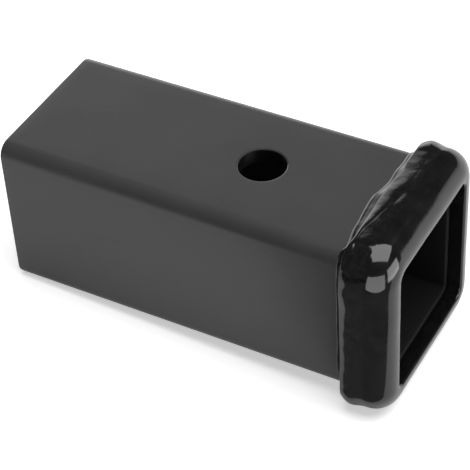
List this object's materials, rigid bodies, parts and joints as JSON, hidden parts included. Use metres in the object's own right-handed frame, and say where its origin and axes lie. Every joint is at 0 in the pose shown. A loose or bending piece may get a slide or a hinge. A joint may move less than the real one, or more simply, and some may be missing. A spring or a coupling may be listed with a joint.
{
  "type": "weld-on receiver tube",
  "caption": "Square steel receiver tube with a forged collar welded round its mouth and a pin hole through two walls, for welding to a tow frame or rack.",
  "frame": {"origin": "centre of the open mouth, in the plane of the collar's front face", "axes": "+X along the tube and out of its mouth, +Z along the pin hole, up"},
  "size_m": [0.1584, 0.077, 0.077],
  "materials": {
    "tube_coat": "satin black powder coat",
    "collar_coat": "gloss black powder coat",
    "weld_coat": "gloss black powder coat over a hand-laid bead"
  },
  "bodies": {
    "root": {"receiver_tube": "tube_coat", "collar": "collar_coat", "collar_weld": "weld_coat"}
  },
  "joints": []
}
